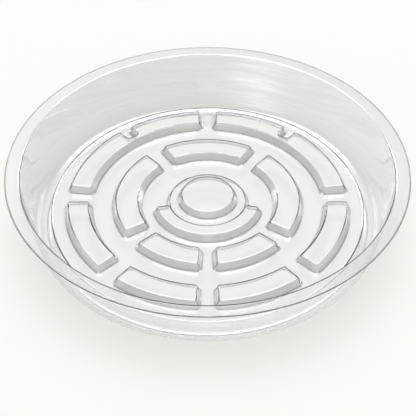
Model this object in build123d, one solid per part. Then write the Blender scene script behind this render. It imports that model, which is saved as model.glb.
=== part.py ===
from build123d import *
from dataclasses import dataclass
from math import asin, cos, degrees, hypot, radians, tan
import os

# A clear plant saucer, vacuum-formed from one sheet, in millimetres. The origin is at the centre of
# the plane that the foot rests on, +Z is up and +Y points to the rear of the rib pattern. Each formed
# zone of the sheet is a node, and neighbouring zones meet face to face. The radial sizes add up from
# the centre boss out to the rim, which comes to 267 mm across.

# Sheet
sheet = 1.0
overall_height = 45.2
draft = 25.0

# Centre boss and the round tier under it
boss_top_radius = 17.6
boss_height = 5.3
tier_ledge = 5.8
tier_height = 4.2

# Raised ribs: widths are taken at the floor, gaps along the middle of their ring
rib_height = 5.8
rib_inner_corner = 0.6
half_rib_width = 12.1
half_rib_span = 160.0
inner_channel = 6.7
middle_rib_width = 20.2
outer_channel = 13.2
outer_rib_width = 19.0

# Places of the gaps on the right half, in degrees from +X towards the rear, and their widths
rear_angle = 90.0
front_angle = -90.0
outer_side_gap_angle = 2.7
outer_front_gap_angle = -47.2
outer_rear_gap = 7.2
outer_side_gap = 10.2
outer_front_side_gap = 10.2
outer_front_gap = 8.4
middle_rear_gap_angle = 53.4
middle_front_gap_angle = -36.8
middle_rear_gap = 8.8
middle_side_gap = 8.2
middle_front_gap = 6.6

# Notch in the outer flank of each rear outer rib
notch_angle = 51.0
notch_width = 5.0
notch_corner = 1.0
notch_bridge_top = 3.4

# Floor, foot channel, wall and rim; the bend radii are those of the inside of each bend
floor_margin = 9.2
floor_lift = 9.9
floor_bend = 0.5
channel_draft = 6.0
channel_bend = 1.8
foot_width = 1.2
heel_bend = 7.3
wall_flare = 10.0
rim_bend = 1.0
rim_width = 9.7
rim_droop = 0.2
seam_margin = 0.8

# Straight sides of the wedge that cuts a ring into sectors
wedge_steps = 3

# Worked-out levels and radii
slope = tan(radians(draft))
wall_inset = sheet / cos(radians(draft))
hollow_collar = 2 * sheet
rib_top = floor_lift + rib_height
tier_top = floor_lift + tier_height
rib_run = rib_height * slope
rib_corner = rib_inner_corner + wall_inset + (rib_height - sheet) * slope
boss_base_radius = boss_top_radius + boss_height * slope
tier_top_radius = boss_base_radius + tier_ledge
tier_base_radius = tier_top_radius + tier_height * slope
half_rib_outer = tier_top_radius + half_rib_width
middle_inner = half_rib_outer + inner_channel
middle_outer = middle_inner + middle_rib_width
outer_inner = middle_outer + outer_channel
outer_outer = outer_inner + outer_rib_width
floor_edge = outer_outer + floor_margin
heel_reach = heel_bend * tan(radians((90.0 - wall_flare) / 2))
channel_reach = channel_bend * tan(radians((90.0 - channel_draft) / 2))
floor_reach = (floor_bend + sheet) * tan(radians((90.0 - channel_draft) / 2))
channel_inner = floor_edge + (floor_lift - sheet) * tan(radians(channel_draft))
wall_bottom = channel_inner + channel_reach + foot_width + heel_reach
wall_top = wall_bottom + (overall_height - sheet) * tan(radians(wall_flare))
rim_radius = wall_top + rim_width
rim_reach = rim_bend + sheet
rim_seam = overall_height - rim_reach - sheet - seam_margin
wall_seam = sheet + heel_reach + seam_margin
floor_seam = floor_edge - floor_reach - seam_margin
foot_middle = channel_inner + channel_reach + foot_width / 2


@dataclass
class Rib:
    """One raised rib of a ring, from one gap to the next, with an optional notch in its outer flank."""
    inner: float
    outer: float
    start: float
    end: float
    notch_at: float | None = None


def half_gap(width, inner, outer):
    """Half a gap's angle along the middle of its ring, in degrees."""
    return degrees(asin(width / (inner + outer)))


def left_corner(before, corner, after, distance):
    """The corner of the path moved sideways, to the left of its direction, by one distance."""
    normals = []
    for (x0, y0), (x1, y1) in ((before, corner), (corner, after)):
        length = hypot(x1 - x0, y1 - y0)
        normals.append((-(y1 - y0) / length, (x1 - x0) / length))
    (ax, ay), (bx, by) = normals
    scale = distance / (1 + ax * bx + ay * by)
    return (corner[0] + (ax + bx) * scale, corner[1] + (ay + by) * scale)


def sheet_section():
    """The sheet's cross-section from the rim to the axis, as a face of radius and height."""
    upper = [
        (rim_radius, overall_height - rim_droop),
        (wall_top, overall_height),
        (wall_bottom, sheet),
        (channel_inner, sheet),
        (floor_edge, floor_lift),
        (0, floor_lift),
    ]
    beyond_rim = (2 * upper[0][0] - upper[1][0], 2 * upper[0][1] - upper[1][1])
    beyond_axis = (-floor_edge, floor_lift)
    padded = [beyond_rim, *upper, beyond_axis]
    lower = [left_corner(*padded[i:i + 3], sheet) for i in range(len(upper))]
    upper_bends = [rim_bend + sheet, heel_bend, channel_bend, floor_bend + sheet]
    lower_bends = [rim_bend, heel_bend + sheet, channel_bend + sheet, floor_bend]
    top = FilletPolyline(*upper, radius=upper_bends)
    bottom = FilletPolyline(*lower, radius=lower_bends)
    return make_face([*top.edges(), *bottom.edges(), Line(upper[0], lower[0]), Line(upper[-1], lower[-1])])


def window(low_radius, high_radius, low, high):
    """A rectangle in the plane of the cross-section, between two radii and two heights."""
    centre = Pos((low_radius + high_radius) / 2, (low + high) / 2)
    return centre * Rectangle(high_radius - low_radius, high - low)


def turned_zone(section, low_radius, high_radius, low, high):
    """The part of the sheet's cross-section inside a window, turned about the axis."""
    return revolve(Plane.XZ * (section & window(low_radius, high_radius, low, high)), Axis.Z)


def sector(inner, outer, start, end):
    """A flat ring sector between two radii and two angles."""
    reach = 2 * outer
    turn = (end - start) / wedge_steps
    rays = [PolarLine((0, 0), reach, start + step * turn) @ 1 for step in range(wedge_steps + 1)]
    wedge = make_face(Polyline((0, 0), *rays, close=True))
    return (Circle(outer) - Circle(inner)) & wedge


def rib_outline(rib):
    """A rib's outline at the floor, with its notch, and with its corners rounded."""
    outline = sector(rib.inner, rib.outer, rib.start, rib.end)
    if rib.notch_at is None:
        return fillet(outline.vertices(), rib_corner)
    notch_bottom = rib.inner + notch_bridge_top + 2 * rib_run
    cut = Rot(0, 0, rib.notch_at) * Pos(rib.outer, 0) * Rectangle(2 * (rib.outer - notch_bottom), notch_width)
    notched = outline - cut
    deep = [v for v in notched.vertices() if rib.inner + rib_run < hypot(v.X, v.Y) < rib.outer - rib_run]
    outline = fillet(deep, notch_corner)
    sharp = [v for v in outline.vertices() if is_sharp_corner(v, rib)]
    return fillet(sharp, rib_corner)


def is_sharp_corner(vertex, rib):
    """Whether a corner of a rib's outline lies on its inner or its outer arc."""
    radius = hypot(vertex.X, vertex.Y)
    nearest = min(abs(radius - rib.inner), abs(radius - rib.outer))
    return nearest < notch_corner / 2


def raised(outline, base, height, collar):
    """A drafted block on a flat outline, with a straight collar below its base."""
    placed = Pos(0, 0, base) * outline
    return extrude(placed, height, taper=draft) + extrude(placed, -collar)


def cup(outline, base, height):
    """A hollow raised form, open underneath: its filled block and the hollow inside it."""
    inside = offset(outline, -wall_inset)
    return raised(outline, base, height, sheet), raised(inside, base, height - sheet, hollow_collar)


def outer_ring():
    """The right half of the outer ring of ribs, named from the rear to the front."""
    radii = (outer_inner, outer_outer)
    rear = half_gap(outer_rear_gap, *radii)
    side = half_gap(outer_side_gap, *radii)
    front_side = half_gap(outer_front_side_gap, *radii)
    front = half_gap(outer_front_gap, *radii)
    return {
        "rear_outer_rib": Rib(*radii, outer_side_gap_angle + side, rear_angle - rear, notch_angle),
        "side_outer_rib": Rib(*radii, outer_front_gap_angle + front_side, outer_side_gap_angle - side),
        "front_outer_rib": Rib(*radii, front_angle + front, outer_front_gap_angle - front_side),
    }


def middle_ring():
    """The right half of the middle ring of ribs, without the rib across the rear."""
    radii = (middle_inner, middle_outer)
    rear = half_gap(middle_rear_gap, *radii)
    side = half_gap(middle_side_gap, *radii)
    front = half_gap(middle_front_gap, *radii)
    return {
        "side_middle_rib": Rib(*radii, middle_front_gap_angle + side, middle_rear_gap_angle - rear),
        "front_middle_rib": Rib(*radii, front_angle + front, middle_front_gap_angle - side),
    }


def rear_middle_rib():
    """The rib of the middle ring that crosses the rear."""
    start = middle_rear_gap_angle + half_gap(middle_rear_gap, middle_inner, middle_outer)
    return Rib(middle_inner, middle_outer, start, 2 * rear_angle - start)


def rib_cups():
    """Every rib of the two full rings by name, as its filled block and its hollow."""
    cups = {"rear_middle_rib": cup(rib_outline(rear_middle_rib()), floor_lift, rib_height)}
    for name, rib in {**outer_ring(), **middle_ring()}.items():
        block, hollow = cup(rib_outline(rib), floor_lift, rib_height)
        cups[f"{name}_right"] = (block, hollow)
        cups[f"{name}_left"] = (mirror(block, Plane.YZ), mirror(hollow, Plane.YZ))
    return cups


def centre_cups():
    """The half rib, the tier and the boss at the centre, as their filled blocks and hollows."""
    boss_block, boss_hollow = cup(Circle(boss_base_radius), tier_top, boss_height)
    tier_block, tier_hollow = cup(Circle(tier_base_radius), floor_lift, tier_height)
    outline = sector(boss_base_radius, half_rib_outer, front_angle - half_rib_span / 2,
                     front_angle + half_rib_span / 2)
    far = [v for v in outline.vertices() if hypot(v.X, v.Y) > tier_base_radius]
    half_block, half_hollow = cup(fillet(far, rib_corner), floor_lift, rib_height)
    rise = rib_height - tier_height
    bowl = Pos(0, 0, tier_top) * Cone(
        tier_top_radius, tier_top_radius + (rise + sheet) * slope, rise + sheet,
        align=(Align.CENTER, Align.CENTER, Align.MIN))
    step = Pos(0, 0, tier_top - sheet) * Cone(
        tier_top_radius + wall_inset, tier_top_radius + wall_inset + (rise + sheet) * slope, rise + sheet,
        align=(Align.CENTER, Align.CENTER, Align.MIN))
    half_hollow = half_hollow - step
    return {
        "centre_boss": boss_block - boss_hollow,
        "centre_tier": tier_block - tier_hollow - half_hollow - boss_block,
        "inner_half_rib": half_block - half_hollow - tier_block - bowl,
    }, tier_block + half_block


def saucer_nodes():
    """Every zone of the saucer's sheet, by node name."""
    section = sheet_section()
    beyond = 2 * rim_radius
    cups = rib_cups()
    centre, centre_block = centre_cups()
    floor = turned_zone(section, 0, floor_seam, 0, overall_height)
    for block, _ in cups.values():
        floor = floor - block
    nodes = {
        "rim_flange": turned_zone(section, foot_middle, beyond, rim_seam, beyond),
        "side_wall": turned_zone(section, foot_middle, beyond, wall_seam, rim_seam),
        "foot_channel": turned_zone(section, floor_seam, foot_middle, 0, overall_height)
        + turned_zone(section, foot_middle, beyond, 0, wall_seam),
        "floor_panel": floor - centre_block,
    }
    for name, (block, hollow) in cups.items():
        nodes[name] = block - hollow
    return {**nodes, **centre}


os.makedirs("parts", exist_ok=True)
for node_name, solid in saucer_nodes().items():
    export_step(solid, f"parts/{node_name}.step")
print(f"outer diameter {2 * rim_radius:.2f}, height {overall_height:.2f}, rib tops at {rib_top:.2f}")
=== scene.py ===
import logging
from dataclasses import dataclass, field, fields
from enum import Enum
from typing import Any

import bpy
import numpy as np
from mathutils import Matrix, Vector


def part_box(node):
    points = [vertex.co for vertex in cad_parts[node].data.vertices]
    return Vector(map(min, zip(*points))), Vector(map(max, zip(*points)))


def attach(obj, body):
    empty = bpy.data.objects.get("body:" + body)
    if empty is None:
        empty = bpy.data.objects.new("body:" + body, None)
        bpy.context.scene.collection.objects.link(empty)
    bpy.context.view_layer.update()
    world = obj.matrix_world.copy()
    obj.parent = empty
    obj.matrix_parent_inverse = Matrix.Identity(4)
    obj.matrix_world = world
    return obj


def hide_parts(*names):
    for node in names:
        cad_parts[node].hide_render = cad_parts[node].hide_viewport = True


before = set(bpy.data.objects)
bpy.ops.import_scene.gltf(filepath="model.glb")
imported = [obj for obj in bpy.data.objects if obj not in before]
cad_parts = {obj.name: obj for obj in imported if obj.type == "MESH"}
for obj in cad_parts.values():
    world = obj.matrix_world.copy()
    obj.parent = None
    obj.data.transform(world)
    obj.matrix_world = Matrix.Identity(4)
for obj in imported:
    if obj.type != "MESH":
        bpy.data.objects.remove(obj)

Array = np.ndarray
Colour = tuple[float, float, float, float]

MM = 0.001
QUARTER_TURN = 90.0
REAR = QUARTER_TURN
FRONT = -QUARTER_TURN
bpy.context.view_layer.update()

log = logging.getLogger("saucer")


@dataclass(frozen=True)
class Signal:
    """A shader socket that takes part in Python arithmetic: each operator adds one Math node."""

    board: "NodeBoard"
    socket: bpy.types.NodeSocket

    def math(self, operation: str, first: Any, second: Any = 0.0) -> "Signal":
        """Adds one Math node.

        Args:
            operation: The Math node's operation.
            first: A signal or a number.
            second: A signal or a number.

        Returns:
            The node's value.
        """
        return self.board.add("ShaderNodeMath", {"operation": operation}, {0: first, 1: second})

    def __add__(self, other: Any) -> "Signal":
        """Self plus other."""
        return self.math("ADD", self, other)

    def __radd__(self, other: Any) -> "Signal":
        """Other plus self."""
        return self.math("ADD", other, self)

    def __rsub__(self, other: Any) -> "Signal":
        """Other minus self."""
        return self.math("SUBTRACT", other, self)

    def __mul__(self, other: Any) -> "Signal":
        """Self times other."""
        return self.math("MULTIPLY", self, other)

    def __rmul__(self, other: Any) -> "Signal":
        """Other times self."""
        return self.math("MULTIPLY", other, self)

    def __pow__(self, other: Any) -> "Signal":
        """Self to a power."""
        return self.math("POWER", self, other)

    def larger(self, other: Any) -> "Signal":
        """The larger of self and other."""
        return self.math("MAXIMUM", self, other)

    def smaller(self, other: Any) -> "Signal":
        """The smaller of self and other."""
        return self.math("MINIMUM", self, other)

    def sibling(self, output: str) -> "Signal":
        """Another output of the same node, by its name."""
        return Signal(self.board, self.socket.node.outputs[output])


@dataclass(frozen=True)
class NodeBoard:
    """A node tree that nodes are added to."""

    tree: bpy.types.NodeTree

    @classmethod
    def cleared(cls, owner: bpy.types.Material | bpy.types.World) -> "NodeBoard":
        """Takes an owner's node tree and empties it.

        Args:
            owner: The material or world that the tree belongs to.

        Returns:
            The board with no nodes on it.
        """
        owner.use_nodes = True
        owner.node_tree.nodes.clear()
        return cls(owner.node_tree)

    def add(self, kind: str, settings: dict[str, Any] | None = None,
            inputs: dict[int | str, Any] | None = None, output: int | str = 0) -> Signal:
        """Adds any node.

        Args:
            kind: The node's type.
            settings: The node's own settings, set first.
            inputs: A value or a signal for each socket, by number or by name.
            output: Which of the node's outputs to give back.

        Returns:
            The chosen output.
        """
        node = self.tree.nodes.new(kind)
        for name, value in (settings or {}).items():
            setattr(node, name, value)
        for place, value in (inputs or {}).items():
            if isinstance(value, Signal):
                self.tree.links.new(value.socket, node.inputs[place])
            else:
                node.inputs[place].default_value = value
        return Signal(self, node.outputs[output] if len(node.outputs) else None)

    def noise(self, place: Signal, scale: float, detail: float) -> Signal:
        """Adds a noise texture.

        Args:
            place: Where the noise is read.
            scale: How closely its lumps stand.
            detail: How many finer layers lie over them.

        Returns:
            The noise, from about nothing to about one.
        """
        return self.add("ShaderNodeTexNoise", {}, {"Vector": place, "Scale": scale, "Detail": detail})


@dataclass(frozen=True)
class ClearSheetFinish:
    """Clear formed sheet: smooth and glossy, with painted shade and a painted highlight in faint ripples.
    """

    tint: tuple[float, float, float] = (0.984, 0.987, 1.0)
    index: float = 1.5
    gloss: float = 0.03
    scuff: float = 0.05
    scuff_scale: float = 60.0
    scuff_detail: float = 5.0
    scuff_sharpness: float = 4.0
    # Ripples of the painted highlight that the sheen raises on the wall.
    ripple_stretch: tuple[float, float, float] = (14.0, 14.0, 170.0)
    ripple_detail: float = 2.0
    ripple_sharpness: float = 3.0
    ripple_gain: float = 0.9
    sag_scale: float = 26.0
    sag_detail: float = 1.0
    sag_height: float = 0.015 * MM
    edge_grey: Colour = (0.40, 0.405, 0.41, 1.0)
    edge_density: float = 30.0
    shadow_tint: Colour = (0.955, 0.953, 0.948, 1.0)

    def colour(self, board: NodeBoard, spot: Signal, clearness: Signal, sheen: Signal) -> Signal:
        """The tint, scaled by the mesh's clearness, which is lowered as painted shade and raised by level
        ripples as a painted highlight where there is a sheen.

        Args:
            board: The material's nodes.
            spot: The place on the saucer.
            clearness: The mesh's clearness, lowered as painted shade.
            sheen: The mesh's sheen, the strength of a painted highlight.

        Returns:
            The colour that the sheet lets through.
        """
        stretched = board.add("ShaderNodeMapping", {}, {"Vector": spot, "Scale": self.ripple_stretch})
        ripple = board.noise(stretched, 1.0, self.ripple_detail)
        # Painted highlight: level ripples brighten the colour where there is a sheen.
        painted_glint = sheen * (self.ripple_gain * ripple ** self.ripple_sharpness)
        clear = (clearness + painted_glint).smaller(1.0)
        return board.add("ShaderNodeVectorMath", {"operation": "SCALE"}, {0: self.tint, "Scale": clear})

    def normal(self, board: NodeBoard, spot: Signal) -> Signal:
        """The surface's normal, tipped a little by the sheet's shallow sags.

        Args:
            board: The material's nodes.
            spot: The place on the saucer.

        Returns:
            The tipped normal.
        """
        sag = board.noise(spot, self.sag_scale, self.sag_detail)
        return board.add("ShaderNodeBump", {}, {
            "Height": sag * self.sag_height, "Strength": 1.0, "Distance": 1.0})

    def material(self) -> bpy.types.Material:
        """Makes the sheet's material.

        The mesh's haze and faint scuffs are added to the roughness. Light from lamps and from the table
        passes straight through, as it nearly does in a thin sheet, less the mesh's shade for lamps.

        Returns:
            The material.
        """
        material = bpy.data.materials.new("clear_formed_sheet")
        board = NodeBoard.cleared(material)
        spot = board.add("ShaderNodeTexCoord", output="Object")
        clearness, haze, sheen, shade = (
            board.add("ShaderNodeAttribute", {"attribute_name": name}, output="Fac")
            for name in Skin.finish())
        scuff = board.noise(spot, self.scuff_scale, self.scuff_detail)
        # The base colour holds painted shade where the clearness is lowered and a painted highlight where
        # there is a sheen.
        sheet = board.add("ShaderNodeBsdfPrincipled", {}, {
            "Base Color": self.colour(board, spot, clearness, sheen),
            "Roughness": self.gloss + self.scuff * scuff ** self.scuff_sharpness + haze,
            "IOR": self.index,
            "Transmission Weight": 1.0,
            "Normal": self.normal(board, spot),
        })
        passing = board.add("ShaderNodeBsdfTransparent", {}, {"Color": self.shadow_tint})
        from_lamp = board.add("ShaderNodeLightPath", output="Is Shadow Ray")
        from_table = from_lamp.sibling("Is Diffuse Ray")
        through = from_table.larger(from_lamp * (1.0 - shade))
        surface = board.add("ShaderNodeMixShader", {}, {0: through, 1: sheet, 2: passing})
        depth = board.add("ShaderNodeVolumeAbsorption", {}, {
            "Color": self.edge_grey, "Density": self.edge_density})
        board.add("ShaderNodeOutputMaterial", {}, {"Surface": surface, "Volume": depth})
        return material


@dataclass(frozen=True)
class TableFinish:
    """A matt warm-white table."""

    colour: Colour = (0.97, 0.96, 0.925, 1.0)
    roughness: float = 0.9

    def material(self) -> bpy.types.Material:
        """The table's material."""
        material = bpy.data.materials.new("table_white")
        board = NodeBoard.cleared(material)
        paint = board.add("ShaderNodeBsdfPrincipled", {}, {
            "Base Color": self.colour, "Roughness": self.roughness, "Specular IOR Level": 0.0})
        board.add("ShaderNodeOutputMaterial", {}, {"Surface": paint})
        return material


class Bend(Enum):
    """Which way a profile turns at a corner, seen along its run."""

    LEFT = 1.0
    RIGHT = -1.0


def rounded_depth(first: Array, second: Array, radius: float) -> Array:
    """Depth inside the corner of two edges, rounded off.

    Inside the corner's square the depth is the radius less the distance to the corner arc's centre, and
    elsewhere it is the smaller of the two depths.

    Args:
        first: Depth behind one edge, negative outside it.
        second: Depth behind the other edge.
        radius: Radius of the rounded corner.

    Returns:
        Depth inside the rounded outline, negative outside it.
    """
    across = radius - first
    along = radius - second
    corner = np.hypot(np.maximum(across, 0.0), np.maximum(along, 0.0))
    return radius - corner - np.minimum(np.maximum(across, along), 0.0)


@dataclass(frozen=True)
class Flank:
    """The drafted side of a raised form, with a hollow bend at its base and a round one at its top."""

    draft: float = 25.0
    base_bend: float = 0.4
    top_bend: float = 1.2

    def run(self, rise: float) -> float:
        """Level distance that a flank of this rise covers."""
        return rise * np.tan(np.radians(self.draft))

    def reach(self, radius: float) -> float:
        """Distance from a flank's sharp corner to the start of its bend."""
        return radius * np.tan(np.radians(90.0 - self.draft) / 2)

    def bends(self, rise: float) -> tuple[float, float]:
        """Depths at the middle of the base bend and of the top bend of a flank of this rise."""
        share = (1.0 - np.sin(np.radians(self.draft))) / 2
        return -share * self.reach(self.base_bend), self.run(rise) + share * self.reach(self.top_bend)

    def lift(self, depth: Array, rise: float) -> Array:
        """Height over the base as a function of depth inside the base outline.

        The height is flat, follows a quarter-like arc of the base bend, climbs at the draft angle, follows
        an arc of the top bend, and is flat again.

        Args:
            depth: Depth inside the base outline, in mm.
            rise: Height of the raised form, in mm.

        Returns:
            Height over the base, in mm.
        """
        climb = np.cos(np.radians(self.draft))
        foot = depth + self.reach(self.base_bend)
        head = self.run(rise) + self.reach(self.top_bend) - depth
        low = self.base_bend - np.sqrt(np.maximum(self.base_bend ** 2 - foot ** 2, 0.0))
        high = rise - self.top_bend + np.sqrt(np.maximum(self.top_bend ** 2 - head ** 2, 0.0))
        slant = depth / np.tan(np.radians(self.draft))
        places = [foot <= 0.0, head <= 0.0, foot < self.base_bend * climb, head < self.top_bend * climb]
        return np.select(places, [0.0, rise, low, high], slant)


@dataclass(frozen=True)
class Notch:
    """A slot cut into a rib's outer flank."""

    angle: float = 51.0
    width: float = 5.0
    corner: float = 1.0
    bridge_top: float = 3.4

    def depth(self, radius: Array, angle: Array, bottom: float) -> Array:
        """Depth inside the slot.

        Args:
            radius: Distance from the axis, in mm.
            angle: Angle from +X, in degrees.
            bottom: Distance from the axis to the slot's bottom, in mm.

        Returns:
            Depth inside the slot, negative outside it.
        """
        turn = np.radians(angle - self.angle)
        sideways = self.width / 2 - np.abs(radius * np.sin(turn))
        return rounded_depth(sideways, radius * np.cos(turn) - bottom, self.corner)


@dataclass(frozen=True)
class Rib:
    """One raised rib: a ring sector between two radii and two angles, with an optional notch."""

    inner: float
    outer: float
    start: float
    end: float
    rise: float
    corner: float
    notch: Notch | None = None

    def depth(self, radius: Array, angle: Array, flank: Flank) -> Array:
        """Depth inside the rib's base outline.

        The depth behind the two arcs is a difference of radii, and behind the two ends it is the radius
        times the sine of the angle to that end. The four meet in rounded corners.

        Args:
            radius: Distance from the axis, in mm.
            angle: Angle from +X, in degrees.
            flank: The rib's sides.

        Returns:
            Depth inside the outline, negative outside it.
        """
        before = np.radians(np.clip(angle - self.start, -QUARTER_TURN, QUARTER_TURN))
        after = np.radians(np.clip(self.end - angle, -QUARTER_TURN, QUARTER_TURN))
        across = np.minimum(radius - self.inner, self.outer - radius)
        along = radius * np.sin(np.minimum(before, after))
        depth = rounded_depth(across, along, self.corner)
        if self.notch is None:
            return depth
        bottom = self.inner + self.notch.bridge_top + 2 * flank.run(self.rise)
        return rounded_depth(depth, -self.notch.depth(radius, angle, bottom), self.corner)


@dataclass(frozen=True)
class Levels:
    """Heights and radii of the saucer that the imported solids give, in mm."""

    sheet: float
    height: float
    floor: float
    floor_seam: float
    rib_top: float
    tier_top: float
    boss_top: float
    boss_base: float
    half_rib_outer: float
    middle_outer: float
    rim_radius: float

    @classmethod
    def from_frame(cls) -> "Levels":
        """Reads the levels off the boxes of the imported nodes."""
        floor_low, floor_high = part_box("floor_panel")
        _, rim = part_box("rim_flange")
        _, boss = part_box("centre_boss")
        _, rear_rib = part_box("rear_middle_rib")
        half_rib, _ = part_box("inner_half_rib")
        return cls(
            sheet=(floor_high[2] - floor_low[2]) / MM,
            height=rim[2] / MM,
            floor=floor_high[2] / MM,
            floor_seam=floor_high[0] / MM,
            rib_top=rear_rib[2] / MM,
            tier_top=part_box("centre_tier")[1][2] / MM,
            boss_top=boss[2] / MM,
            boss_base=boss[0] / MM,
            half_rib_outer=-half_rib[1] / MM,
            middle_outer=rear_rib[1] / MM,
            rim_radius=rim[0] / MM,
        )


@dataclass(frozen=True)
class RibPattern:
    """The raised forms of the floor. The left half mirrors the right, so angles stop at the YZ plane."""

    levels: Levels
    flank: Flank = Flank()
    tier_ledge: float = 5.8
    half_rib_span: float = 160.0
    middle_rib_width: float = 20.2
    outer_channel: float = 13.2
    outer_rib_width: float = 19.0
    rib_inner_corner: float = 0.6
    outer_side_gap_angle: float = 2.7
    outer_front_gap_angle: float = -47.2
    outer_rear_gap: float = 7.2
    outer_side_gap: float = 10.2
    outer_front_side_gap: float = 10.2
    outer_front_gap: float = 8.4
    middle_rear_gap_angle: float = 53.4
    middle_front_gap_angle: float = -36.8
    middle_rear_gap: float = 8.8
    middle_side_gap: float = 8.2
    middle_front_gap: float = 6.6
    notch: Notch = Notch()
    crease: float = 0.5
    # Width and top height of the painted shade lines along the flanks' bases.
    seam_width: float = 0.4
    seam_rise: float = 1.0

    @property
    def rise(self) -> float:
        """Height of the ribs over the floor."""
        return self.levels.rib_top - self.levels.floor

    @property
    def corner(self) -> float:
        """Radius of a rib's corners at the floor, which leaves the inner corner radius under its top."""
        wall = self.levels.sheet / np.cos(np.radians(self.flank.draft))
        return self.rib_inner_corner + wall + self.flank.run(self.rise - self.levels.sheet)

    @property
    def tier_top_radius(self) -> float:
        """Radius of the tier's flat top."""
        return self.levels.boss_base + self.tier_ledge

    @property
    def tier_base_radius(self) -> float:
        """Radius of the tier at the floor."""
        return self.tier_top_radius + self.flank.run(self.levels.tier_top - self.levels.floor)

    @property
    def outer_ring(self) -> tuple[float, float]:
        """Inner and outer radius of the outer ring."""
        inner = self.levels.middle_outer + self.outer_channel
        return inner, inner + self.outer_rib_width

    @property
    def middle_ring(self) -> tuple[float, float]:
        """Inner and outer radius of the middle ring."""
        return self.levels.middle_outer - self.middle_rib_width, self.levels.middle_outer

    def ring_ribs(self, ring: tuple[float, float], gaps: list[tuple[float, float]],
                  notches: dict[int, Notch]) -> list[Rib]:
        """The ribs of one ring, from the rear to the front.

        Args:
            ring: Inner and outer radius.
            gaps: Angle and width of each gap, from the rear to the front.
            notches: The notch of each notched rib, by its number.

        Returns:
            One rib for each two neighbouring gaps.
        """
        half = [np.degrees(np.arcsin(width / sum(ring))) for _, width in gaps]
        edges = [(angle - turn, angle + turn) for (angle, _), turn in zip(gaps, half)]
        return [Rib(*ring, front[1], rear[0], self.rise, self.corner, notches.get(number))
                for number, (rear, front) in enumerate(zip(edges, edges[1:]))]

    def ribs(self) -> list[Rib]:
        """Every rib of the right half, with the half rib and the rear middle rib whole."""
        outer = self.ring_ribs(self.outer_ring, [
            (REAR, self.outer_rear_gap),
            (self.outer_side_gap_angle, self.outer_side_gap),
            (self.outer_front_gap_angle, self.outer_front_side_gap),
            (FRONT, self.outer_front_gap),
        ], {0: self.notch})
        middle = self.ring_ribs(self.middle_ring, [
            (2 * REAR - self.middle_rear_gap_angle, self.middle_rear_gap),
            (self.middle_rear_gap_angle, self.middle_rear_gap),
            (self.middle_front_gap_angle, self.middle_side_gap),
            (FRONT, self.middle_front_gap),
        ], {})
        foot = self.tier_top_radius - self.flank.run(self.levels.tier_top - self.levels.floor)
        half = Rib(foot, self.levels.half_rib_outer, FRONT - self.half_rib_span / 2,
                   FRONT + self.half_rib_span / 2, self.rise, self.corner)
        return [*outer, *middle, half]

    def height(self, x: Array, y: Array) -> Array:
        """Height of the sheet's upper face over the floor.

        The left half is folded over the right one. Each raised form gives its flank's lift at its depth.
        The highest of them counts, with a small round bend where two meet, and the boss stands on top.

        Args:
            x: Place to the right of the axis, in mm.
            y: Place to the rear of the axis, in mm.

        Returns:
            Height over the floor, in mm.
        """
        *standing, (boss_depth, boss_rise) = self.outlines(x, y)
        height = np.zeros_like(x)
        for depth, rise in standing:
            other = self.flank.lift(depth, rise)
            blend = np.maximum(self.crease - np.abs(height - other), 0.0)
            both = np.minimum(height, other) > 0.0
            height = np.maximum(height, other) + both * blend ** 2 / (4 * self.crease)
        return height + self.flank.lift(boss_depth, boss_rise)

    def outlines(self, x: Array, y: Array) -> list[tuple[Array, float]]:
        """Depth inside the base outline of each raised form and the form's rise, in mm.

        Args:
            x: Place to the right of the axis, in mm.
            y: Place to the rear of the axis, in mm.

        Returns:
            The tier, the ribs and last the boss.
        """
        radius = np.hypot(x, y)
        angle = np.degrees(np.arctan2(y, np.abs(x)))
        tier = (self.tier_base_radius - radius, self.levels.tier_top - self.levels.floor)
        ribs = [(rib.depth(radius, angle, self.flank), rib.rise) for rib in self.ribs()]
        boss = (self.levels.boss_base - radius, self.levels.boss_top - self.levels.tier_top)
        return [tier, *ribs, boss]

    def seam(self, x: Array, y: Array) -> Array:
        """Nearness to the lines along which flanks rise from the floor, and the boss from its tier.

        It is one on a line and falls off as a bell over the seam's width. It places the painted shade
        lines along the flanks' bases.

        Args:
            x: Place to the right of the axis, in mm.
            y: Place to the rear of the axis, in mm.

        Returns:
            Nearness, from nothing to one.
        """
        *standing, (boss_depth, _) = self.outlines(x, y)
        nearest = np.min([np.abs(depth) for depth, _ in standing], axis=0)
        low = self.height(x, y) < self.seam_rise
        bells = [np.exp(-(depth / self.seam_width) ** 2) for depth in (nearest, boss_depth)]
        return np.maximum(low * bells[0], bells[1])

    def radial_places(self) -> Array:
        """Radii at which flanks bend, for a grid to stand closer there."""
        low, high = self.flank.bends(self.rise)
        bottom = self.outer_ring[0] + self.notch.bridge_top + 2 * self.flank.run(self.rise)
        tier_bends = self.flank.bends(self.levels.tier_top - self.levels.floor)
        boss_bends = self.flank.bends(self.levels.boss_top - self.levels.tier_top)
        places = [self.levels.boss_base - depth for depth in boss_bends]
        places += [self.tier_base_radius - depth for depth in tier_bends]
        for depth in (low, high):
            places += [self.levels.half_rib_outer - depth, bottom - depth]
            places += [edge for inner, outer in (self.middle_ring, self.outer_ring)
                       for edge in (inner + depth, outer - depth)]
        return np.array(places)

    def angular_places(self) -> tuple[Array, Array]:
        """Angles at which flanks bend, in degrees, and the radius that each belongs to."""
        places: list[tuple[float, float]] = []
        for rib in self.ribs():
            radius = (rib.inner + rib.outer) / 2
            for depth in self.flank.bends(rib.rise):
                turn = np.degrees(depth / radius)
                places += [(rib.start + turn, radius), (rib.end - turn, radius)]
                if rib.notch is not None:
                    slot = np.degrees((rib.notch.width / 2 + depth) / rib.outer)
                    places += [(rib.notch.angle - slot, rib.outer), (rib.notch.angle + slot, rib.outer)]
        angles, radii = np.array(places).T
        return angles, radii


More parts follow.
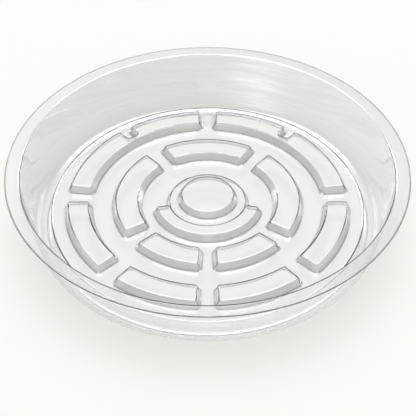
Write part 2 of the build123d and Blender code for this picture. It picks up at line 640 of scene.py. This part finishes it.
@dataclass(frozen=True)
class Grading:
    """How closely the lines of a grid stand: fine near given places and coarse elsewhere."""

    fine: float
    coarse: float
    reach: float
    samples: int = 6000

    def lines(self, start: float, end: float, places: Array, scale: Array | float = 1.0) -> Array:
        """Places the lines so that each step holds the same share of a density.

        The density is one over the coarse step, or one over the fine step within reach of a place, and the
        lines are where its running sum passes whole numbers of equal shares.

        Args:
            start: Where the first line is.
            end: Where the last line is.
            places: Where the lines stand closer.
            scale: Factor on the fine step and the reach at each place.

        Returns:
            The lines' places, from start to end.
        """
        trial = np.linspace(start, end, self.samples)
        scales = np.broadcast_to(scale, places.shape)
        near = np.abs(trial[:, None] - places) < self.reach * scales
        density = np.maximum((near / (self.fine * scales)).max(axis=1), 1.0 / self.coarse)
        steps = (density[1:] + density[:-1]) / 2 * np.diff(trial)
        shares = np.concatenate(([0.0], np.cumsum(steps)))
        return np.interp(np.linspace(0.0, shares[-1], int(np.ceil(shares[-1])) + 1), shares, trial)


@dataclass(frozen=True)
class TurnedProfile:
    """The sheet's upper face past the ribs: floor edge, foot channel, heel, wall and rim, in mm."""

    levels: Levels
    floor_edge: float
    floor_bend: float = 0.5
    channel_draft: float = 6.0
    channel_bend: float = 1.8
    foot_width: float = 1.2
    heel_bend: float = 7.3
    wall_flare: float = 10.0
    rim_bend: float = 1.0
    rim_droop: float = 0.2
    cut_band: float = 0.9
    arc_step: float = 8.0
    longest_run: float = 5.0

    def radii(self) -> tuple[float, float, float, float]:
        """Radii of the channel's inner corner, the heel's start, the wall's bottom and the wall's top."""
        sheet = self.levels.sheet
        drop = self.levels.floor - sheet
        channel_inner = self.floor_edge + drop * np.tan(np.radians(self.channel_draft))
        channel_reach = self.channel_bend * np.tan(np.radians(90.0 - self.channel_draft) / 2)
        heel_start = channel_inner + channel_reach + self.foot_width
        wall_bottom = heel_start + self.heel_bend * np.tan(np.radians(90.0 - self.wall_flare) / 2)
        wall_top = wall_bottom + (self.levels.height - sheet) * np.tan(np.radians(self.wall_flare))
        return channel_inner, heel_start, wall_bottom, wall_top

    def corners(self) -> tuple[Array, Array]:
        """The profile's sharp corners from the floor's edge to the rim, and their bend radii."""
        sheet = self.levels.sheet
        channel_inner, _, wall_bottom, wall_top = self.radii()
        points = np.array([
            (self.levels.floor_seam, self.levels.floor),
            (self.floor_edge, self.levels.floor),
            (channel_inner, sheet),
            (wall_bottom, sheet),
            (wall_top, self.levels.height),
            (self.levels.rim_radius - sheet / 2, self.levels.height - self.rim_droop),
        ])
        bends = [self.floor_bend + sheet, self.channel_bend, self.heel_bend, self.rim_bend + sheet]
        return points, np.array(bends)

    def arc(self, before: Array, corner: Array, after: Array, radius: float) -> tuple[Array, Array]:
        """One rounded corner.

        The normal turns evenly from the left of the first run to the left of the second, and the point
        stands one radius from the arc's centre against it, or along it where the profile turns right.

        Args:
            before: The corner before this one.
            corner: The sharp corner.
            after: The corner after this one.
            radius: The bend's radius.

        Returns:
            The arc's points and its normals.
        """
        first = (corner - before) / np.linalg.norm(corner - before)
        second = (after - corner) / np.linalg.norm(after - corner)
        turn = np.arctan2(first[0] * second[1] - first[1] * second[0], first @ second)
        way = Bend.LEFT if turn > 0 else Bend.RIGHT
        start = corner - first * radius * np.tan(abs(turn) / 2)
        left = np.array([-first[1], first[0]])
        count = int(np.ceil(abs(np.degrees(turn)) / self.arc_step))
        angle = np.linspace(0.0, turn, count + 1)
        normal = np.stack([np.cos(angle) * left[0] - np.sin(angle) * left[1],
                           np.sin(angle) * left[0] + np.cos(angle) * left[1]], axis=1)
        return start + way.value * radius * (left - normal), normal

    def stations(self) -> tuple[Array, Array]:
        """The profile's points and its unit normals, from the floor's seam to the rim's edge.

        Arcs round the corners, and a straight run between two arcs is divided evenly.

        Returns:
            Points of radius and height, and the normals at them.
        """
        corners, bends = self.corners()
        arcs = [self.arc(*corners[i:i + 3], bend) for i, bend in enumerate(bends)]
        first, last = corners[0], corners[-1]
        inside = last - self.cut_band * (last - corners[-2]) / np.linalg.norm(last - corners[-2])
        level = arcs[-1][1][-1:]
        ends = [(first[None], arcs[0][1][:1]), *arcs, (inside[None], level), (last[None], level)]
        points, normals = [ends[0][0]], [ends[0][1]]
        for (before, before_normal), (after, after_normal) in zip(ends, ends[1:]):
            length = np.linalg.norm(after[0] - before[-1])
            count = int(np.ceil(length / self.longest_run))
            share = np.linspace(0.0, 1.0, count + 1)[1:-1, None]
            points += [before[-1] + share * (after[0] - before[-1]), after]
            normals += [np.repeat(before_normal[-1:], len(share), axis=0), after_normal]
        return np.concatenate(points), np.concatenate(normals)


@dataclass(frozen=True)
class Skin:
    """A stretch of the sheet's upper face by row and column, and how its finish varies.

    Attributes:
        points: Places, in mm.
        normals: Unit normals.
        clearness: Share of the tint that gets through, lowered as painted shade.
        haze: Roughness added to the gloss.
        sheen: Strength of the level ripples of a painted highlight.
        shade: Share of lamp light that is held back.
    """

    points: Array
    normals: Array
    clearness: Array
    haze: Array
    sheen: Array
    shade: Array

    @classmethod
    def finish(cls) -> list[str]:
        """Names of the values that the finish follows."""
        return [part.name for part in fields(cls)[2:]]

    def joined(self, other: "Skin") -> "Skin":
        """This stretch with another one's rows after its own."""
        names = [part.name for part in fields(self)]
        return Skin(*(np.concatenate([getattr(self, name), getattr(other, name)]) for name in names))


def spun(flat: Array, angle: Array) -> Array:
    """Carries radius and height round the axis: x and y are the radius times the cosine and the sine.

    Args:
        flat: Radius and height of each row.
        angle: Angle of each column, in radians.

    Returns:
        Places by row and column.
    """
    x, y = flat[:, :1] * np.cos(angle), flat[:, :1] * np.sin(angle)
    return np.stack([x, y, np.broadcast_to(flat[:, 1:], x.shape)], axis=2)


@dataclass
class Saucer:
    """The saucer's sheet as one seamless closed shell, which stands for every formed zone."""

    levels: Levels
    pattern: RibPattern
    floor_margin: float = 9.2
    first_radius: float = 4.0
    slope_step: float = 0.01
    edge_steps: int = 4
    # Clearness below one is painted shade: darker flanks, dark lines along their bases, a greyer wall and
    # rim and a dark cut edge.
    flank_clearness: float = 0.70
    seam_clearness: float = 0.36
    wall_shade: float = 0.09
    flank_shade: float = 0.25
    wall_clearness: float = 0.89
    rim_clearness: float = 0.88
    cut_clearness: float = 0.40
    # The swing paints the wall and the rim lighter towards their headings and darker on the far side.
    swing: float = 0.10
    wall_heading: float = -65.0
    rim_heading: float = -110.0
    heel_haze: float = 0.06
    cut_haze: float = 0.6
    # The sheen is a painted highlight: a rippled brightening of the wall in a bell round its heading.
    sheen_heading: float = 72.0
    sheen_spread: float = 9.0
    rows: Grading = Grading(fine=0.28, coarse=4.0, reach=0.75)
    columns: Grading = Grading(fine=0.40, coarse=3.0, reach=0.75)
    finish: ClearSheetFinish = ClearSheetFinish()
    piece: bpy.types.Object | None = field(default=None, init=False)

    def angles(self) -> Array:
        """Angles of the grid's columns once round the axis, in radians, alike on the left and the right."""
        places, radii = self.pattern.angular_places()
        right = self.columns.lines(FRONT, REAR, places, np.degrees(1.0 / radii))
        return np.radians(np.concatenate([right, 2 * REAR - right[-2:0:-1]]))

    def floor_skin(self, angle: Array) -> Skin:
        """The upper face of the floor and its ribs.

        Radius and angle run over the grid, and the height is the rib pattern's. The normal is minus the
        height's slope to the right and to the rear, and one upwards, made a unit vector. Clearness falls
        evenly with steepness to the flanks' value, and to the seams' value along the seams, as painted
        shade on the flanks and painted shade lines along their bases. Shade grows with steepness.

        Args:
            angle: The columns' angles.

        Returns:
            The skin from the axis to the floor's seam.
        """
        places = self.pattern.radial_places()
        radius = self.rows.lines(self.first_radius, self.levels.floor_seam, places)[:-1, None]
        x, y = radius * np.cos(angle), radius * np.sin(angle)
        z = self.levels.floor + self.pattern.height(x, y)
        step = self.slope_step
        across = self.pattern.height(x + step, y) - self.pattern.height(x - step, y)
        along = self.pattern.height(x, y + step) - self.pattern.height(x, y - step)
        normal = np.stack([-across, -along, np.full_like(z, 2 * step)], axis=2)
        normal /= np.linalg.norm(normal, axis=2, keepdims=True)
        upright = np.sin(np.radians(self.pattern.flank.draft))
        steep = np.minimum((1.0 - normal[:, :, 2]) / (1.0 - upright), 1.0)
        # Painted shade: darker on steep flanks and darker still along the seams.
        clear = 1.0 - (1.0 - self.flank_clearness) * steep
        clear += self.pattern.seam(x, y) * (self.seam_clearness - clear)
        none = np.zeros_like(z)
        return Skin(np.stack([x, y, z], axis=2), normal, clear, haze=none, sheen=none,
                    shade=self.flank_shade * steep)

    def turned_finish(self, profile: TurnedProfile, radius: Array, angle: Array) -> tuple[Array, ...]:
        """How the finish varies from the floor's edge to the rim.

        Clearness, lowered as painted shade, falls from one to the wall's value across the heel, goes to the
        rim's value at its bend and falls to the cut's value along the cut. Past the heel it swings with the
        cosine of the angle from the heading where it is clearest, as painted light on that side and painted
        shade on the far side. The heel is hazy, the wall has a painted highlight, the sheen, that falls off
        as a bell round one heading, and the wall and the rim are shaded, holding back some lamp light.

        Args:
            profile: The profile that is turned.
            radius: The rows' radii.
            angle: The columns' angles.

        Returns:
            Clearness, haze, sheen and shade by row and column.
        """
        channel_inner, heel_start, wall_bottom, wall_top = profile.radii()
        rim = wall_top + profile.rim_bend + self.levels.sheet
        cut = radius[-1] - profile.cut_band
        # Painted shade: the wall, the rim and the cut edge are made less clear.
        clear = np.interp(radius, (heel_start, wall_bottom, wall_top, rim, cut, radius[-1]), (
            1.0, self.wall_clearness, self.wall_clearness, self.rim_clearness, self.rim_clearness,
            self.cut_clearness))
        # Painted light and shade: past the heel the clearness swings with the heading.
        share = np.interp(radius, (heel_start, wall_bottom), (0.0, self.swing))
        heading = np.interp(radius, (wall_top, rim), (self.wall_heading, self.rim_heading))
        swing = share[:, None] * np.cos(angle - np.radians(heading)[:, None])
        haze = np.interp(radius, (channel_inner, heel_start, wall_bottom, wall_top), (
            0.0, self.heel_haze, 0.0, 0.0))
        # Painted highlight: a bell round the sheen's heading, on the upright wall only.
        off = np.degrees(angle - np.radians(self.sheen_heading)) / self.sheen_spread
        wall = (wall_bottom, wall_bottom + self.levels.sheet, wall_top, rim)
        upright = np.interp(radius, wall, (0.0, 1.0, 1.0, 0.0))
        shade = np.interp(radius, (heel_start, wall_bottom), (0.0, self.wall_shade))
        columns = np.ones_like(angle)
        return (clear[:, None] + swing, haze[:, None] * columns, upright[:, None] * np.exp(-off ** 2),
                shade[:, None] * columns)

    def turned_skin(self, angle: Array) -> Skin:
        """The upper face from the floor's edge to the rim: the profile turned about the axis.

        Args:
            angle: The columns' angles.

        Returns:
            The skin from the floor's seam to the rim's edge.
        """
        profile = TurnedProfile(self.levels, self.pattern.outer_ring[1] + self.floor_margin)
        points, normals = profile.stations()
        finish = self.turned_finish(profile, points[:, 0], angle)
        return Skin(spun(points, angle), spun(normals, angle), *finish)

    def shell(self) -> tuple[Array, Array, dict[str, Array]]:
        """The closed shell's vertices, faces and finish.

        Rows run over the upper face from the axis to the rim, round the rim's half-round edge, and back
        over the lower face, which lies one sheet below the upper one along its normals. A vertex on the
        axis closes each end.

        Returns:
            Vertices in metres, triangles and quads as one list of corner numbers, four a face, and the
            finish's values at each vertex, by name.
        """
        angle = self.angles()
        skin = self.floor_skin(angle).joined(self.turned_skin(angle))
        upper, normal = skin.points, skin.normals
        lower = upper - self.levels.sheet * normal
        middle = (upper[-1] + lower[-1]) / 2
        out = np.stack([np.cos(angle), np.sin(angle), np.zeros_like(angle)], axis=1)
        round_off = np.linspace(0.0, np.pi, self.edge_steps + 1)[1:-1, None, None]
        edge = middle + self.levels.sheet / 2 * (np.cos(round_off) * normal[-1] + np.sin(round_off) * out)
        grid = np.concatenate([upper, edge, lower[::-1]])
        boss_top = self.levels.boss_top
        poles = np.array([[0.0, 0.0, boss_top], [0.0, 0.0, boss_top - self.levels.sheet]])
        vertices = MM * np.concatenate([grid.reshape(-1, 3), poles])
        finish = {}
        # The cut edge gets the cut's clearness as painted shade, the cut's haze, no sheen and the wall's
        # shade.
        for name, cut in zip(Skin.finish(), (self.cut_clearness, self.cut_haze, 0.0, self.wall_shade)):
            rows = getattr(skin, name)
            full = np.concatenate([rows, np.full(edge.shape[:2], cut), rows[::-1]])
            finish[name] = np.append(full, [full[0, 0], full[-1, 0]])
        return vertices, self.faces(*grid.shape[:2]), finish

    @staticmethod
    def faces(rows: int, columns: int) -> Array:
        """Faces of a grid that closes round the axis and at its two poles.

        Args:
            rows: Number of rows.
            columns: Number of columns.

        Returns:
            Corner numbers, four a face, where a triangle repeats its last corner.
        """
        here = np.arange(columns)
        beside = np.roll(here, -1)
        base = columns * np.arange(rows - 1)[:, None]
        following = base + columns
        quads = np.stack([
            base + here, following + here, following + beside, base + beside], axis=2)
        top = np.full(columns, rows * columns)
        last = columns * (rows - 1)
        cap = np.stack([top, here, beside, beside], axis=1)
        seat = np.stack([top + 1, last + beside, last + here, last + here], axis=1)
        return np.concatenate([quads.reshape(-1, 4), cap, seat])

    def build(self) -> None:
        """Makes the shell's mesh, at the origin, and lets it ride for every formed zone."""
        vertices, corners, finish = self.shell()
        fans = corners[:, 2] == corners[:, 3]
        faces = [*corners[~fans].tolist(), *corners[fans][:, :3].tolist()]
        mesh = bpy.data.meshes.new("saucer_sheet")
        mesh.from_pydata(vertices.tolist(), [], faces)
        for name, values in finish.items():
            mesh.attributes.new(name, "FLOAT", "POINT").data.foreach_set("value", values)
        mesh.validate()
        mesh.shade_smooth()
        self.piece = bpy.data.objects.new("saucer_sheet", mesh)
        bpy.context.scene.collection.objects.link(self.piece)
        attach(self.piece, "root")
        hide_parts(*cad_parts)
        log.info("%s: %d faces", self.piece.name, len(mesh.polygons))

    def dress(self) -> None:
        """Gives the shell its clear finish."""
        self.piece.data.materials.append(self.finish.material())


def toward(heading: float, elevation: float) -> Array:
    """Unit vector towards a heading from +X and an elevation, both in degrees."""
    turn, rise = np.radians(heading), np.radians(elevation)
    return np.array([np.cos(rise) * np.cos(turn), np.cos(rise) * np.sin(turn), np.sin(rise)])


@dataclass(frozen=True)
class SoftLamp:
    """A square soft lamp that faces the saucer."""

    name: str
    heading: float
    elevation: float
    distance: float
    side: float
    radiance: float

    def build(self) -> None:
        """Places the lamp. Its power is its radiance times its area times pi."""
        light = bpy.data.lights.new(self.name, "AREA")
        light.shape = "SQUARE"
        light.size = self.side
        light.energy = self.radiance * np.pi * self.side ** 2
        lamp = bpy.data.objects.new(self.name, light)
        lamp.location = self.distance * toward(self.heading, self.elevation)
        lamp.rotation_euler = np.radians([QUARTER_TURN - self.elevation, 0.0, self.heading + QUARTER_TURN])
        bpy.context.scene.collection.objects.link(lamp)
        log.info("lamp %s", self.name)


class Reach(Enum):
    """What a glow in the room lights."""

    EVERYTHING = "everything"
    REFLECTIONS = "reflections"


@dataclass(frozen=True)
class Glow:
    """A soft round patch of light in the room, far from the saucer. Angles are in degrees."""

    heading: float
    elevation: float
    core: float
    rim: float
    radiance: float
    reach: Reach = Reach.REFLECTIONS

    def light(self, board: NodeBoard, way: Signal, mirrored: Signal) -> Signal:
        """The patch's radiance, full within its core and fading to nothing at its rim.

        Args:
            board: The world's nodes.
            way: The direction that is looked at.
            mirrored: One for a ray that has met a glossy surface.

        Returns:
            The radiance in that direction.
        """
        centre = tuple(toward(self.heading, self.elevation))
        nearness = board.add("ShaderNodeVectorMath", {"operation": "DOT_PRODUCT"},
                             {0: way, 1: centre}, "Value")
        patch = board.add("ShaderNodeMapRange", {"interpolation_type": "SMOOTHSTEP"}, {
            "Value": nearness,
            "From Min": np.cos(np.radians(self.rim)),
            "From Max": np.cos(np.radians(self.core)),
        })
        light = self.radiance * patch
        return light * mirrored if self.reach is Reach.REFLECTIONS else light


@dataclass(frozen=True)
class Studio:
    """The table, the light round it and the camera at the photograph's viewing angle."""

    table_side: float = 20.0
    finish: TableFinish = TableFinish()
    lamps: tuple[SoftLamp, ...] = (
        SoftLamp("top_lamp", 90.0, 80.0, 4.0, 2.2, 3.6),
    )
    glows: tuple[Glow, ...] = (
        Glow(90.0, 52.0, 26.0, 53.0, 0.50, Reach.EVERYTHING),
        Glow(0.0, 66.0, 22.0, 36.0, 6.0),
        Glow(180.0, 66.0, 22.0, 36.0, 6.0),
        Glow(48.0, 9.0, 10.0, 18.0, 8.0),
        Glow(132.0, 9.0, 10.0, 18.0, 8.0),
        Glow(-90.0, 11.0, 15.0, 40.0, 1.0),
        Glow(90.0, 44.0, 14.0, 30.0, 0.45),
    )
    room_light: float = 0.535
    room_colour: Colour = (1.0, 1.0, 1.0, 1.0)
    backdrop: Colour = (0.97, 0.965, 0.925, 1.0)
    lens: float = 101.3
    tilt: float = 43.19
    camera_at: tuple[float, float, float] = (0.25, -584.0, 554.1)

    def build_table(self) -> None:
        """A flat table that the foot rests on."""
        half = self.table_side / 2
        corners = half * np.array([(-1, -1, 0), (1, -1, 0), (1, 1, 0), (-1, 1, 0)], dtype=float)
        mesh = bpy.data.meshes.new("table")
        mesh.from_pydata(corners.tolist(), [], [(0, 1, 2, 3)])
        table = bpy.data.objects.new("table", mesh)
        mesh.materials.append(self.finish.material())
        bpy.context.scene.collection.objects.link(table)

    def build_sky(self) -> None:
        """The room: dim all round, with soft glows. The camera sees the backdrop."""
        world = bpy.data.worlds.new("studio")
        bpy.context.scene.world = world
        board = NodeBoard.cleared(world)
        way = board.add("ShaderNodeTexCoord", output="Generated")
        seen = board.add("ShaderNodeLightPath", output="Is Camera Ray")
        mirrored = seen.sibling("Is Glossy Ray")
        light = self.room_light
        for glow in self.glows:
            light = light + glow.light(board, way, mirrored)
        room = board.add("ShaderNodeBackground", {}, {"Color": self.room_colour, "Strength": light})
        backdrop = board.add("ShaderNodeBackground", {}, {"Color": self.backdrop})
        surface = board.add("ShaderNodeMixShader", {}, {0: seen, 1: room, 2: backdrop})
        board.add("ShaderNodeOutputWorld", {}, {"Surface": surface})

    def build_camera(self) -> None:
        """The camera, tilted down from the front."""
        data = bpy.data.cameras.new("camera")
        data.lens = self.lens
        camera = bpy.data.objects.new("camera", data)
        camera.location = MM * np.array(self.camera_at)
        camera.rotation_euler = (np.radians(90.0 - self.tilt), 0.0, 0.0)
        bpy.context.scene.collection.objects.link(camera)
        bpy.context.scene.camera = camera

    def build(self) -> None:
        """Sets up the whole studio."""
        bpy.context.scene.view_settings.view_transform = "Standard"
        self.build_table()
        self.build_sky()
        self.build_camera()
        for lamp in self.lamps:
            lamp.build()


def main() -> None:
    """Builds the studio and the saucer, and reports each piece."""
    logging.basicConfig(level=logging.INFO, format="%(name)s: %(message)s")
    Studio().build()
    levels = Levels.from_frame()
    saucer = Saucer(levels, RibPattern(levels))
    saucer.build()
    saucer.dress()


if __name__ == "__main__":
    main()
